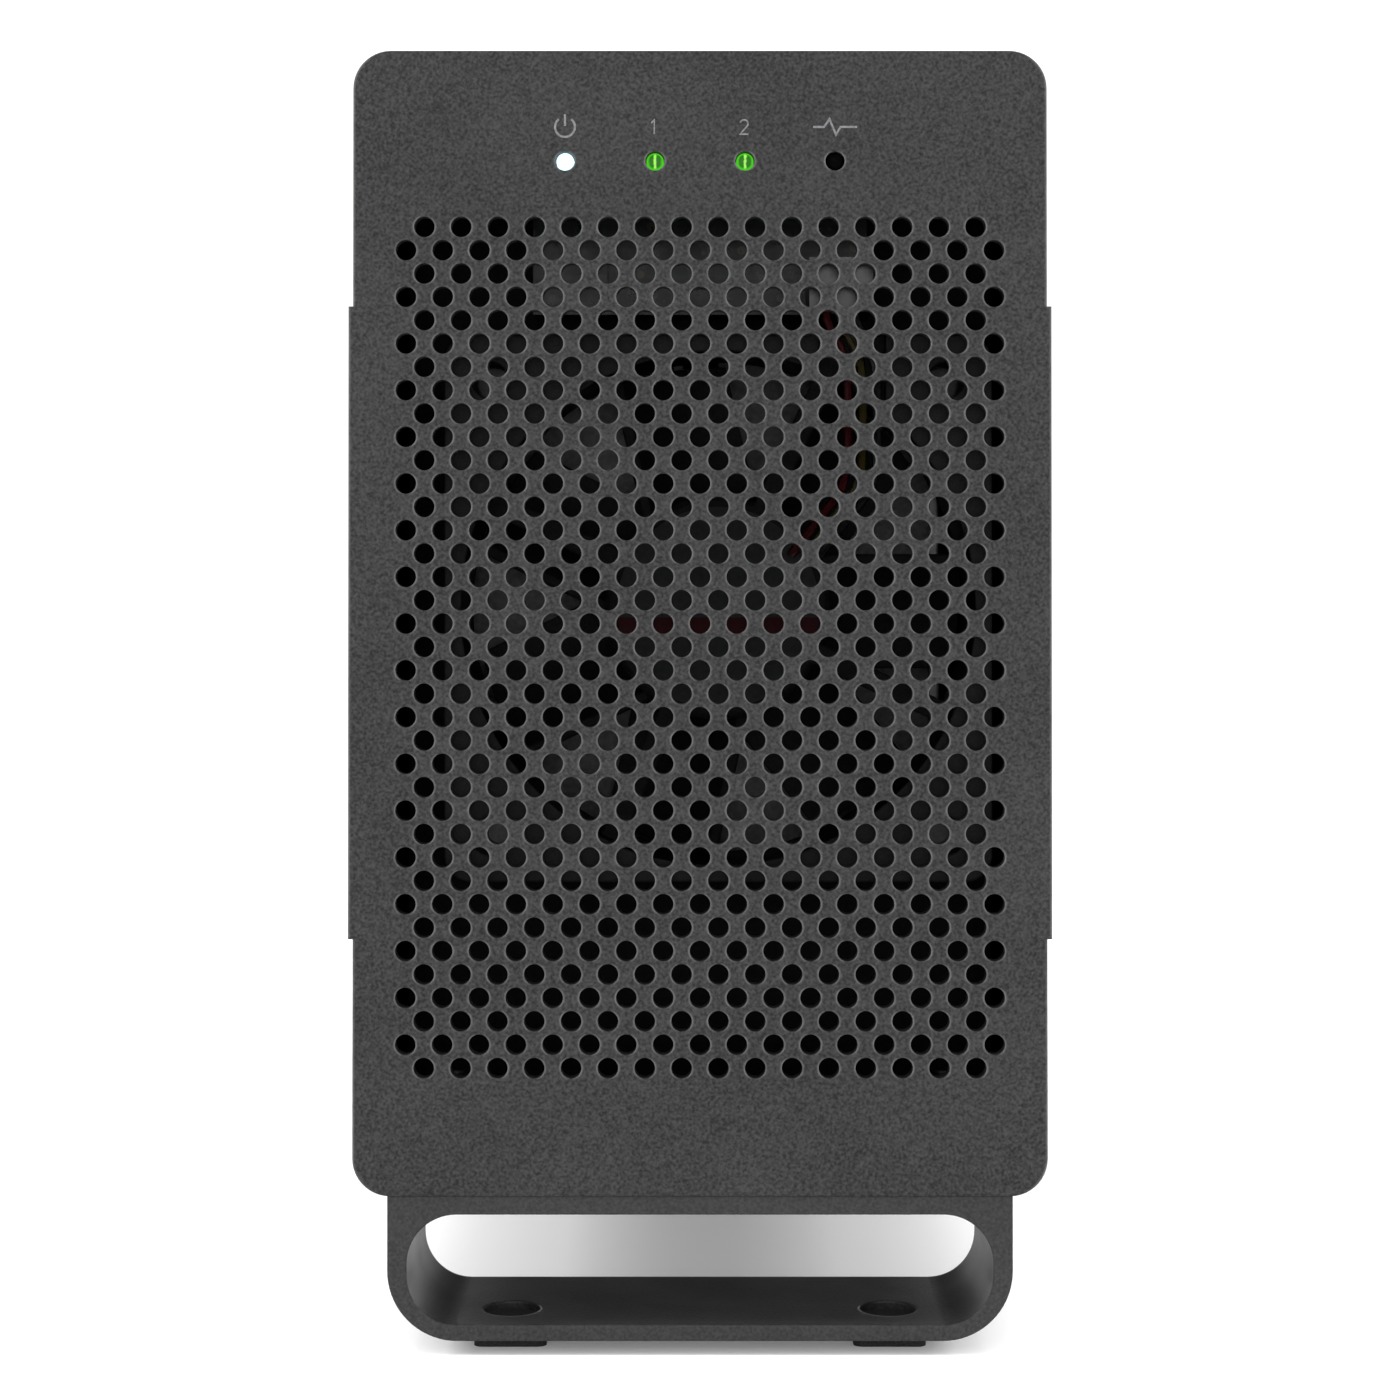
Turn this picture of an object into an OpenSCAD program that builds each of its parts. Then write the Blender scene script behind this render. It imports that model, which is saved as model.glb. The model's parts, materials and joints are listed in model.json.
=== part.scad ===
// Two-drive network attached storage: an extruded case on two loop feet, with a sliding chassis.
// +Z is up, the front faces -Y, and the origin is on the floor under the middle of the object.

/* [Body] */
// Width of the body without its side bands
body_w = 75.5; // [75.5:0.5:84]
// Height of the body without its feet
body_h = 124.5; // [124:0.5:130]
// Depth from the front plate to the rearmost screw head
body_d = 200; // [200:1:230]
// Radius of the four long corners
corner_r = 4.1; // [3:0.1:5]
// Wall thickness of the sleeve
wall = 2; // [1.6:0.1:2.2]
// Thickness of the front and rear plates
plate_t = 2; // [1.5:0.1:2.5]
// How far the side bands stand proud of the body
band_proud = 0.5; // [0.2:0.1:1.5]
// Height of the side bands
band_h = 68.8; // [40:0.1:90]

/* [Grille] */
// Diameter of one grille hole
hole_d = 2.25; // [1.6:0.05:2.4]
// Distance between holes along a row
hole_pitch = 4.0; // [3.6:0.05:4]
// Distance between rows
row_pitch = 2.54; // [2.4:0.02:2.54]
// Number of rows
hole_rows = 37; // [21:2:37]
// Holes in a long row
hole_cols = 17; // [9:1:17]
// How far the grille's middle lies below the body's middle
grille_drop = 2.65; // [2:0.05:3]

/* [Indicators] */
// Distance between indicator lights
light_pitch = 9.8; // [8:0.1:10]
// Distance of the lights below the top edge
light_drop = 12; // [11:0.1:13]
// Diameter of an indicator hole
light_d = 2.1; // [1.6:0.1:3]

/* [Feet] */
// Width of a loop foot
loop_w = 68; // [60:0.5:72]
// Height of a loop foot
loop_h = 15.8; // [12:0.1:20]
// Depth of a loop foot
loop_d = 21; // [18:0.5:30]
// Outer radius of the loop's bottom corners
loop_r = 7.6; // [6.5:0.1:8]
// Height of the rubber pads
pad_h = 1.6; // [1:0.1:3]
// Sideways place of the loop screws and pads
foot_x = 20.9; // [15:0.1:24]

/* [Fan] */
// Side of the square fan frame
fan_s = 60; // [60:1:60]
// Depth of the fan
fan_t = 15; // [15:1:15]
// Sideways place of the fan's axis
fan_x = 2; // [0:0.1:3]

/* [Drives] */
// Thickness of a 3.5-inch drive
drive_t = 26.1; // [20:0.1:26.1]
// Length of a drive
drive_l = 147; // [147:1:147]
// Width of a drive, which stands on edge
drive_w = 101.6; // [101.6:0.1:101.6]
// Gap between the two drives
drive_gap = 4; // [3:0.5:5]

/* [Hidden] */
$fn = 48;

// Fits
running_gap = 0.05;
slide_gap = 0.3;
cut_over = 1;

// Fasteners
m3_r = 1.5;
m25_r = 1.25;
head_h = 1.4;
low_head_h = 0.8;

// Heights
body_z = pad_h + loop_h;
mid_z = body_z + body_h / 2;
top_z = body_z + body_h;
grille_z = mid_z - grille_drop;
light_z = top_z - light_drop;
floor_in = body_z + wall;
roof_in = top_z - wall;

// Depths
front_y = -body_d / 2;
sleeve_front = front_y + plate_t;
rear_face = body_d / 2 - head_h;
sleeve_rear = rear_face - plate_t;

// Sheet metal of the chassis
sheet = 1.2;
drive_z0 = grille_z - drive_w / 2;
drive_z1 = grille_z + drive_w / 2;
side_in = body_w / 2 - wall;
sheet_x = side_in - 0.8;

// Fan
fan_z = mid_z + 1.55;
fan_front = sleeve_front + 0.5;
bulkhead_y = fan_front + fan_t;
fan_hole = 25;
fan_bore = 28.2;
flange_t = 3;
carrier_r = 12;
carrier_z = 12;
arm_t = 2.5;
arm_turn = 65;
arms = 4;
hub_r = 12.5;
hub_wall = 1.2;
blade_r = 27.4;
blades = 7;
blade_z0 = 1.2;
blade_z1 = 8.6;
camber = [-6.35, 15.2];
camber_r = 14;
shaft_r = 1;

// Drives
drive_y0 = bulkhead_y + sheet + 5.3;
drive_y1 = drive_y0 + drive_l;
lid_t = 1.2;
well_x = 8.6;
well_r = 48.6;
spindle = [50.8, 50.8];
platter_r = 47.5;
clamp_r = 12.5;
pivot = [103, 40];
arm_l = 48;
arm_rest = 110.7;
sata_len = 42;

// Main board
board_t = 1.6;
board_y = drive_y1 + 5;
board_back = board_y + board_t;
board_x = 33;
board_z0 = drive_z0 + 1.3;
board_z1 = drive_z1 - 1.3;

// Rear connectors, as [x, z] of their middles
ethernet = [2, drive_z0 + 13];
usb = [-18, drive_z0 + 14];
power_in = [21, drive_z0 + 12];
button = [21, drive_z0 + 32];
reset = [21, drive_z0 + 44];
lock_slot = [-18, drive_z0 + 38];
heat_sink_at = [0, drive_z0 + 70];
button_r = 4;
reset_r = 0.9;
boss_in = 2.45;
boss_r = 2.6;
tab_x = 30.2;
tab_up = 4.5;

// Light board
light_board_x = 19;
light_board_z0 = fan_z + fan_s / 2 + 3.3;
light_board_z1 = roof_in - 2.9;
light_board_y = front_y + 12;

// Fan wires: points from the carrier's edge to the plug, as sideways, up and back from the plane
// that the wires lie in
wire_r = 0.5;
wire_step = 1.6;
wire_y = fan_front + 1.2;
wire_path = [[9.6, 5.8, 1], [10.6, 7.1, 0.8], [11.8, 8.6, 0.5], [13, 10.2, 0.2], [14.2, 11.7, 0],
    [15.2, 13.2, 0], [15.8, 15.2, 0], [15.9, 18, 0], [15.9, 21, 0], [15.9, 24, 0], [15.7, 26.6, 0],
    [15, 28.8, 0], [14.1, 30.4, 0], [13.5, 31.9, 0], [13.5, 33, 0]];
plug_x = fan_x + 13.5;
plug_w = 7;
plug_z0 = fan_z + 32.5;

// Helpers

module block(low, high) {
    translate(low) cube(high - low);
}

// A flat shape drawn in x and z, thick from y0 to y1
module slab_y(y0, y1) {
    translate([0, y1, 0]) rotate([90, 0, 0]) linear_extrude(height = y1 - y0) children();
}

module rod_y(x, z, y0, y1, r) {
    translate([x, y1, z]) rotate([90, 0, 0]) cylinder(h = y1 - y0, r = r);
}

module rod_z(x, y, z0, z1, r) {
    translate([x, y, z0]) cylinder(h = z1 - z0, r = r);
}

module rounded(w, h, r) {
    square([w - 2 * r, h], center = true);
    square([w, h - 2 * r], center = true);
    for (sx = [-1, 1], sy = [-1, 1])
        translate([sx * (w / 2 - r), sy * (h / 2 - r)]) circle(r = r);
}

module both_sides() {
    children();
    mirror([1, 0, 0]) children();
}

// Pan head with a cross recess above z = 0, and its shank below
module pan_screw(r, length, head = head_h) {
    difference() {
        union() {
            cylinder(h = head / 2, r = 1.9 * r);
            translate([0, 0, head / 2]) cylinder(h = head / 2, r1 = 1.9 * r, r2 = 1.5 * r);
        }
        for (turn = [0, 90])
            rotate(turn) translate([-r, -r / 5, head / 3]) cube([2 * r, r / 2.5, head]);
    }
    translate([0, 0, -length]) cylinder(h = length, r = r);
}

module facing_rear(x, y, z) {
    translate([x, y, z]) rotate([-90, 0, 0]) children();
}

module facing_front(x, y, z) {
    translate([x, y, z]) rotate([90, 0, 0]) children();
}

module body_outline() {
    rounded(body_w, body_h, corner_r);
    square([body_w + 2 * band_proud, band_h], center = true);
}

boss_x = side_in - boss_in;
boss_z = body_h / 2 - wall - boss_in;

module at_bosses() {
    for (sx = [-1, 1], sz = [-1, 1]) translate([sx * boss_x, sz * boss_z]) children();
}

// Case

module sleeve() {
    color("#48484a") translate([0, 0, mid_z]) difference() {
        translate([0, sleeve_rear, 0]) rotate([90, 0, 0])
            linear_extrude(height = sleeve_rear - sleeve_front) sleeve_profile();
        for (sx = [-1, 1], y = foot_screws)
            translate([sx * foot_x, y, -body_h / 2 - cut_over])
                cylinder(h = wall + 2 * cut_over, r = m3_r + running_gap);
    }
}

// Tube with four screw channels and the two pairs of rails that the chassis sheets slide in
module sleeve_profile() {
    difference() {
        union() {
            difference() {
                body_outline();
                rounded(body_w - 2 * wall, body_h - 2 * wall, corner_r - wall);
            }
            at_bosses() circle(r = boss_r);
            both_sides() for (z = [base_z - slide_gap - rail_t, base_z + sheet + slide_gap,
                    drive_z1 - slide_gap - rail_t, drive_z1 + sheet + slide_gap])
                translate([side_in - rail_w, z - mid_z]) square([rail_w + wall / 2, rail_t]);
        }
        at_bosses() circle(r = m3_r + running_gap);
    }
}

rail_t = 1.2;
rail_w = 2;
base_z = drive_z0 - sheet;
screw_in = 7;
loops = [front_y + 0.5, rear_face - 0.5 - loop_d];
foot_screws = [loops[0] + screw_in, loops[1] + loop_d - screw_in];

module front_plate() {
    color("#454547") slab_y(front_y, sleeve_front) translate([0, mid_z]) difference() {
        body_outline();
        for (row = [0 : hole_rows - 1])
            let (count = row % 2 == 0 ? hole_cols - 1 : hole_cols)
                for (col = [0 : count - 1])
                    translate([(col - (count - 1) / 2) * hole_pitch,
                            (row - (hole_rows - 1) / 2) * row_pitch - grille_drop])
                        circle(r = hole_d / 2, $fn = 32);
        for (i = [-1.5 : 1.5])
            translate([i * light_pitch, light_z - mid_z]) circle(r = light_d / 2);
    }
}

vent_w = 2.4;
vent_pitch = 5;
vent_z0 = drive_z0 + 54;
vent_z1 = drive_z1 - 7;

module rear_plate() {
    color("#454547") slab_y(sleeve_rear, rear_face) difference() {
        translate([0, mid_z]) body_outline();
        translate([0, mid_z]) at_bosses() circle(r = m3_r + running_gap);
        both_sides() for (z = [drive_z0 + tab_up, drive_z1 - tab_up])
            translate([tab_x, z]) circle(r = m3_r + running_gap);
        for (i = [-5 : 5]) translate([i * vent_pitch, 0]) {
            translate([-vent_w / 2, vent_z0]) square([vent_w, vent_z1 - vent_z0]);
            for (z = [vent_z0, vent_z1]) translate([0, z]) circle(r = vent_w / 2);
        }
        port_cut(ethernet, ethernet_size);
        port_cut(usb, usb_size);
        port_cut(power_in, power_size);
        translate(button) circle(r = button_r + slide_gap);
        translate(reset) circle(r = reset_r + slide_gap);
        translate(lock_slot) rounded(7, 3, 1);
    }
}

module port_cut(middle, size) {
    translate(middle) square([size.x + 2 * slide_gap, size.y + 2 * slide_gap], center = true);
}

module rear_plate_screws() {
    color("#1c1c1e") for (sx = [-1, 1], sz = [-1, 1])
        facing_rear(sx * boss_x, rear_face, mid_z + sz * boss_z) pan_screw(m3_r, 9);
}

module chassis_screws() {
    color("#1c1c1e") both_sides() for (z = [drive_z0 + tab_up, drive_z1 - tab_up])
        facing_rear(tab_x, rear_face, z) pan_screw(m3_r, 6);
}

// Feet

loop_top_t = 2.1;
loop_side_t = 2.1;
loop_floor_t = 1.7;
loop_in_r = 5.4;
access_r = 3.2;
pad_w = 8;
pad_d = 14;

// An extruded loop: square shoulders above, round corners below
module loop(y0, screw_y) {
    mid = (loop_floor_t - loop_top_t) / 2 + pad_h + loop_h / 2;
    color("#404042") difference() {
        slab_y(y0, y0 + loop_d) difference() {
            union() {
                translate([0, pad_h + loop_h / 2]) rounded(loop_w, loop_h, loop_r);
                translate([-loop_w / 2, pad_h + loop_h / 2]) square([loop_w, loop_h / 2]);
            }
            translate([0, mid]) rounded(loop_w - 2 * loop_side_t,
                loop_h - loop_top_t - loop_floor_t, loop_in_r);
        }
        for (sx = [-1, 1]) {
            rod_z(sx * foot_x, screw_y, pad_h - cut_over, pad_h + loop_h / 2, access_r);
            rod_z(sx * foot_x, screw_y, pad_h + loop_h / 2, body_z + cut_over, m3_r + running_gap);
        }
    }
}

module front_loop() loop(loops[0], foot_screws[0]);

module rear_loop() loop(loops[1], foot_screws[1]);

// Pads with a plug that snaps into the access hole above
module rubber_feet() {
    color("#1a1a1a") for (sx = [-1, 1], k = [0, 1]) {
        translate([sx * foot_x, loops[k] + loop_d / 2, 0])
            linear_extrude(height = pad_h) rounded(pad_w, pad_d, 1);
        rod_z(sx * foot_x, foot_screws[k], pad_h / 2, pad_h + loop_floor_t / 2,
            access_r - running_gap);
    }
}

module loop_screws() {
    color("#8a8a8c") for (sx = [-1, 1], y = foot_screws)
        translate([sx * foot_x, y, body_z - loop_top_t]) rotate([180, 0, 0])
            pan_screw(m3_r, loop_top_t + wall + 0.8, low_head_h);
}

// Chassis

stud_x = 18;
stud_top_x = 25;
stud_z = base_z - 2.6;
stud_top_z = drive_z1 + 6.7;
stud_l = 4;
nut_r = 2.89;
nut_t = 2;

module at_studs() {
    both_sides() translate([stud_x, 0, stud_z]) children();
    both_sides() translate([stud_top_x, 0, stud_top_z]) children();
}

module front_studs() {
    color("silver") at_studs() rod_y(0, 0, sleeve_front, sleeve_front + stud_l, m25_r);
}

module front_nuts() {
    color("silver") at_studs() translate([0, sleeve_front + sheet + nut_t, 0]) rotate([90, 0, 0])
        difference() {
            cylinder(h = nut_t, r = nut_r, $fn = 6);
            translate([0, 0, -cut_over]) cylinder(h = nut_t + 2 * cut_over, r = m25_r + running_gap);
        }
}

rear_tab_y = sleeve_rear - sheet;
board_tab_x = 29.4;
board_screw_x = 31.2;
board_screw_in = 6;
bulk_screw_x = 27.5;
bulk_screw_y = bulkhead_y - 4.5;
bulk_flange = 9;
drive_screw_y = [16.9, 118.5];
drive_screw_x = 6.35;

module base_holes(z) {
    for (x = [-1, 1] * bulk_screw_x)
        rod_z(x, bulk_screw_y, z - cut_over, z + sheet + cut_over, m3_r + running_gap);
    for (i = [1, 2], y = drive_screw_y)
        rod_z(drive_x0(i) + drive_screw_x, drive_y0 + y, z - cut_over, z + sheet + cut_over,
            m3_r + running_gap);
}

function drive_x0(i) = i == 1 ? -drive_gap / 2 - drive_t : drive_gap / 2;

module chassis_base() {
    color("#9a9a9c") difference() {
        union() {
            block([-sheet_x, sleeve_front, base_z], [sheet_x, rear_tab_y, drive_z0]);
            block([-stud_x - 6, sleeve_front, floor_in + 0.5],
                [stud_x + 6, sleeve_front + sheet, drive_z0]);
            both_sides() chassis_tabs(base_z, 1);
        }
        base_holes(base_z);
        at_studs() rod_y(0, 0, sleeve_front - cut_over, sleeve_front + sheet + cut_over,
            m25_r + running_gap);
        tab_holes(drive_z0, 1);
    }
}

// The tabs that carry the main board and take the screws of the rear plate
module chassis_tabs(z, up) {
    low = up > 0 ? z : z - 9;
    high = up > 0 ? z + 9 : z + sheet;
    block([tab_x - 2.8, rear_tab_y, low], [tab_x + 2.8, sleeve_rear, high]);
    block([board_tab_x, board_y - sheet, low], [board_x, board_y, high]);
}

module tab_holes(z, up) {
    both_sides() {
        rod_y(tab_x, z + up * tab_up, rear_tab_y - cut_over, sleeve_rear + cut_over,
            m3_r + running_gap);
        rod_y(board_screw_x, z + up * board_screw_in, board_y - sheet - cut_over,
            board_y + cut_over, m25_r + running_gap);
    }
}

notch_x = light_board_x + 1.5;
notch_y = light_board_y + 3.5;
cable_x = 5;
cable_t = 0.9;
cable_down_y = board_back + 6;

module chassis_top() {
    color("#9a9a9c") difference() {
        union() {
            block([-sheet_x, sleeve_front, drive_z1], [sheet_x, rear_tab_y, drive_z1 + sheet]);
            both_sides() block([stud_top_x - 4, sleeve_front, drive_z1],
                [stud_top_x + 4, sleeve_front + sheet, stud_top_z + 3.2]);
            both_sides() chassis_tabs(drive_z1, -1);
            both_sides() block([light_tab_x - 3, notch_y, drive_z1],
                [light_tab_x + 3, notch_y + sheet, light_board_z1]);
        }
        block([-notch_x, sleeve_front - cut_over, drive_z1 - cut_over],
            [notch_x, notch_y, drive_z1 + sheet + cut_over]);
        block([-cable_x - 2, board_y - 2, drive_z1 - cut_over],
            [cable_x + 2, rear_tab_y + cut_over, drive_z1 + sheet + cut_over]);
        base_holes(drive_z1);
        at_studs() rod_y(0, 0, sleeve_front - cut_over, sleeve_front + sheet + cut_over,
            m25_r + running_gap);
        tab_holes(drive_z1, -1);
        both_sides() rod_y(light_tab_x, light_screw_z, notch_y - cut_over,
            notch_y + sheet + cut_over, m25_r + running_gap);
    }
}

module fan_bulkhead() {
    color("#3a3a3c") difference() {
        union() {
            block([-sheet_x + 1.5, bulkhead_y, drive_z0], [sheet_x - 1.5, bulkhead_y + sheet, drive_z1]);
            block([-sheet_x + 1.5, bulkhead_y - bulk_flange, drive_z0],
                [sheet_x - 1.5, bulkhead_y + sheet, drive_z0 + sheet]);
            both_sides() block([notch_x + 1, bulkhead_y - bulk_flange, drive_z1 - sheet],
                [sheet_x - 1.5, bulkhead_y + sheet, drive_z1]);
        }
        rod_y(fan_x, fan_z, bulkhead_y - cut_over, bulkhead_y + sheet + cut_over, fan_bore);
        for (sx = [-1, 1], sz = [-1, 1])
            rod_y(fan_x + sx * fan_hole, fan_z + sz * fan_hole, bulkhead_y - cut_over,
                bulkhead_y + sheet + cut_over, fan_screw_r + running_gap);
        for (x = [-1, 1] * bulk_screw_x, z = [drive_z0, drive_z1 - sheet])
            rod_z(x, bulk_screw_y, z - cut_over, z + sheet + cut_over, m3_r + running_gap);
    }
}

module bulkhead_screws() {
    color("silver") for (x = [-1, 1] * bulk_screw_x) {
        translate([x, bulk_screw_y, base_z]) rotate([180, 0, 0]) pan_screw(m3_r, 4);
        translate([x, bulk_screw_y, drive_z1 + sheet]) pan_screw(m3_r, 4);
    }
}

// Fan, drawn from its rear face: local z runs towards the front plate

fan_screw_r = 2;

module at_fan() {
    translate([fan_x, bulkhead_y, fan_z]) rotate([90, 0, 0]) children();
}

module fan_frame() {
    color("#202022") at_fan() {
        difference() {
            union() {
                linear_extrude(height = flange_t) rounded(fan_s, fan_s, 3);
                translate([0, 0, fan_t - flange_t])
                    linear_extrude(height = flange_t) rounded(fan_s, fan_s, 3);
                cylinder(h = fan_t, r = fan_bore + 1.4);
                at_fan_corners() cylinder(h = fan_t, r = 3.6);
            }
            translate([0, 0, -cut_over]) cylinder(h = fan_t + 2 * cut_over, r = fan_bore);
            at_fan_corners() translate([0, 0, -cut_over])
                cylinder(h = fan_t + 2 * cut_over, r = fan_screw_r + running_gap);
            translate([plug_x - fan_x - 2.4, fan_bore - 8, fan_t - 2.2])
                cube([7.3, fan_s / 2, 2.2 + cut_over]);
        }
        difference() {
            union() {
                translate([0, 0, carrier_z - arm_t]) cylinder(h = arm_t, r = carrier_r);
                for (i = [0 : arms - 1]) rotate(arm_turn + i * 360 / arms)
                    translate([carrier_r - 1, -1.2, carrier_z - arm_t])
                        cube([fan_bore - carrier_r + 1.6, 2.4, arm_t]);
                translate([0, 0, 2.6]) cylinder(h = carrier_z - 3, r = 2.6);
            }
            translate([0, 0, 2]) cylinder(h = carrier_z - 4, r = shaft_r + running_gap);
        }
    }
}

module at_fan_corners() {
    for (sx = [-1, 1], sy = [-1, 1]) translate([sx * fan_hole, sy * fan_hole, 0]) children();
}

module fan_stator() {
    color("#b06a35") at_fan() translate([0, 0, 3.4]) difference() {
        union() {
            cylinder(h = 5.4, r = 4.4);
            for (i = [0 : 3]) rotate(i * 90 + 20) {
                translate([3.5, -2, 0.6]) cube([3.8, 4, 4.2]);
                intersection() {
                    difference() {
                        cylinder(h = 5.4, r = 9.6);
                        translate([0, 0, -cut_over]) cylinder(h = 8, r = 7);
                    }
                    translate([0, -4.8, 0]) cube([10, 9.6, 5.4]);
                }
            }
        }
        translate([0, 0, -cut_over]) cylinder(h = 8, r = 2.6);
    }
}

module fan_rotor() {
    color("#28282a") at_fan() {
        difference() {
            translate([0, 0, 0.8]) cylinder(h = 8.2, r = hub_r);
            translate([0, 0, 0.8 + hub_wall]) cylinder(h = 8.2, r = hub_r - hub_wall);
        }
        translate([0, 0, 1.5]) cylinder(h = 7.8, r = shaft_r);
        for (i = [0 : blades - 1]) rotate(i * 360 / blades) blade();
    }
}

// One blade: a cambered plate, part of a tube that lies along the radius
module blade() {
    intersection() {
        difference() {
            translate([0, 0, blade_z0]) cylinder(h = blade_z1 - blade_z0, r = blade_r);
            translate([0, 0, blade_z0 - cut_over])
                cylinder(h = blade_z1 - blade_z0 + 2 * cut_over, r = hub_r - hub_wall / 2);
        }
        translate([0, camber.x, camber.y]) rotate([0, 90, 0]) difference() {
            cylinder(h = blade_r + 1, r = camber_r);
            translate([0, 0, -cut_over]) cylinder(h = blade_r + 3, r = camber_r - 1);
        }
        block([0, -7, blade_z0], [blade_r, 7, blade_z1]);
    }
}

module fan_label() {
    color("#6e7276") at_fan() translate([0, 0, carrier_z]) cylinder(h = 0.15, r = carrier_r - 0.8);
}

module fan_screws() {
    color("silver") for (sx = [-1, 1], sz = [-1, 1])
        facing_rear(fan_x + sx * fan_hole, bulkhead_y + sheet, fan_z + sz * fan_hole)
            pan_screw(fan_screw_r, 10);
}

// A round wire swept along points: eight sides, one ring for each point
module wire(points, r) {
    sides = 8;
    rings = len(points);
    polyhedron(
        points = [for (i = [0 : rings - 1]) for (s = [0 : sides - 1])
            ring_point(points, i, s * 360 / sides, r)],
        faces = concat(
            [[for (s = [0 : sides - 1]) s]],
            [for (i = [0 : rings - 2]) for (s = [0 : sides - 1])
                [i * sides + s, (i + 1) * sides + s,
                    (i + 1) * sides + (s + 1) % sides, i * sides + (s + 1) % sides]],
            [[for (s = [sides - 1 : -1 : 0]) (rings - 1) * sides + s]]));
}

// Every ring lies across the wire's run in the plane of the fan
function ring_point(p, i, angle, r) =
    let (along = p[min(i + 1, len(p) - 1)] - p[max(i - 1, 0)],
        across = [along.z, 0, -along.x] / norm([along.z, 0, -along.x]))
    p[i] + r * (cos(angle) * across + sin(angle) * [0, 1, 0]);

module fan_wire(i) {
    wire([for (p = wire_path) [fan_x + p.x + i * wire_step, wire_y + p.z, fan_z + p.y]], wire_r);
}

module fan_wire_red() color("#b01818") fan_wire(-1);

module fan_wire_yellow() color("#c8a818") fan_wire(0);

module fan_wire_black() color("#181818") fan_wire(1);

plug_front = wire_y - 1.4;
plug_back = wire_y + 1.4;

// The plug of the fan lead, in its header on the light board
module fan_plug() {
    color("#d8d4c8") block([plug_x - plug_w / 2 + 1.4, plug_front + 0.5, plug_z0 + 0.5],
        [plug_x + plug_w / 2 - 1.4, plug_back - 0.5, plug_z0 + 5]);
}

// Light board

light_tab_x = 14;
light_screw_z = light_board_z1 - 3;

module light_board() {
    color("#1d3a24") {
        difference() {
            block([-light_board_x, notch_y - board_t, light_board_z0],
                [light_board_x, notch_y, light_board_z1]);
            both_sides() rod_y(light_tab_x, light_screw_z, notch_y - board_t - cut_over,
                notch_y + cut_over, m25_r + running_gap);
        }
        for (i = [-1.5 : 1.5]) block(
            [i * light_pitch - 1, notch_y - board_t - 0.8, light_z - 0.6],
            [i * light_pitch + 1, notch_y - board_t, light_z + 0.6]);
        difference() {
            block([plug_x - plug_w / 2, plug_front, plug_z0],
                [plug_x + plug_w / 2, notch_y - board_t, plug_z0 + 6]);
            block([plug_x - plug_w / 2 + 1.3, plug_front + 0.4, plug_z0 - cut_over],
                [plug_x + plug_w / 2 - 1.3, plug_back - 0.4, plug_z0 + 5]);
        }
        block([-cable_x - 1.5, notch_y, cable_z0 - 1.1], [cable_x + 1.5, notch_y + 4, cable_z0 + 2.6]);
        for (x = [-12, -6, 0]) block([x - 1.5, notch_y - board_t - 1, light_board_z0 + 3],
            [x + 1.5, notch_y - board_t, light_board_z0 + 6]);
    }
}

module light_board_screws() {
    color("silver") both_sides()
        facing_front(light_tab_x, notch_y - board_t, light_screw_z) pan_screw(m25_r, 4);
}

holder_y0 = sleeve_front + 0.3;
holder_y1 = notch_y - board_t - 1.6;
pipe_r = light_d / 2 - 0.1;
pipe_dome = 0.5;

module light_pipe_holder() {
    color("#161616") difference() {
        block([-light_board_x + 1.5, holder_y0, light_z - 2.6],
            [light_board_x - 1.5, holder_y1, light_z + 2.6]);
        for (i = [-1.5 : 1.5])
            rod_y(i * light_pitch, light_z, holder_y0 - cut_over, holder_y1 + cut_over,
                pipe_r + running_gap);
    }
}

// A clear rod from the light on the board to a domed end in the front plate
module light_pipe(i) {
    back = notch_y - board_t - 0.9;
    length = back - front_y - 0.3;
    facing_front((i - 2.5) * light_pitch, back, light_z) rotate_extrude()
        polygon(concat([[0, 0], [pipe_r, 0]],
            [for (a = [0 : 15 : 90]) [pipe_r * cos(a), length + pipe_dome * (sin(a) - 1)]]));
}

module light_pipe_power() color("#f4fbff") light_pipe(1);

module light_pipe_drive_1() color("#4be018") light_pipe(2);

module light_pipe_drive_2() color("#4be018") light_pipe(3);

module light_pipe_activity() color("#141414") light_pipe(4);

cable_z0 = drive_z1 + sheet + 1.2;
cable_bend = 3;
cable_end_z = drive_z1 - 6;

// Flat cable from the light board, over the top sheet and down to the main board
module ribbon_cable() {
    color("#8f9296") {
        block([-cable_x, notch_y + 4, cable_z0], [cable_x, cable_down_y - cable_bend, cable_z0 + cable_t]);
        intersection() {
            translate([-cable_x, cable_down_y - cable_bend, cable_z0 + cable_t - cable_bend])
                rotate([0, 90, 0]) difference() {
                    cylinder(h = 2 * cable_x, r = cable_bend);
                    translate([0, 0, -cut_over])
                        cylinder(h = 2 * cable_x + 2 * cut_over, r = cable_bend - cable_t);
                }
            block([-cable_x, cable_down_y - cable_bend, cable_z0 + cable_t - cable_bend],
                [cable_x, cable_down_y, cable_z0 + cable_t]);
        }
        block([-cable_x, cable_down_y - cable_t, cable_end_z],
            [cable_x, cable_down_y, cable_z0 + cable_t - cable_bend]);
    }
}

// Drives, drawn with local x through the thickness, y along the length and z across the width

module at_drive(i) {
    translate([drive_x0(i), drive_y0, drive_z0]) children();
}

module rod_x(y, z, x0, x1, r) {
    translate([x0, y, z]) rotate([0, 90, 0]) cylinder(h = x1 - x0, r = r);
}

lid_x = drive_t - lid_t;
swing_y0 = 80;
swing_y1 = 140;

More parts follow.
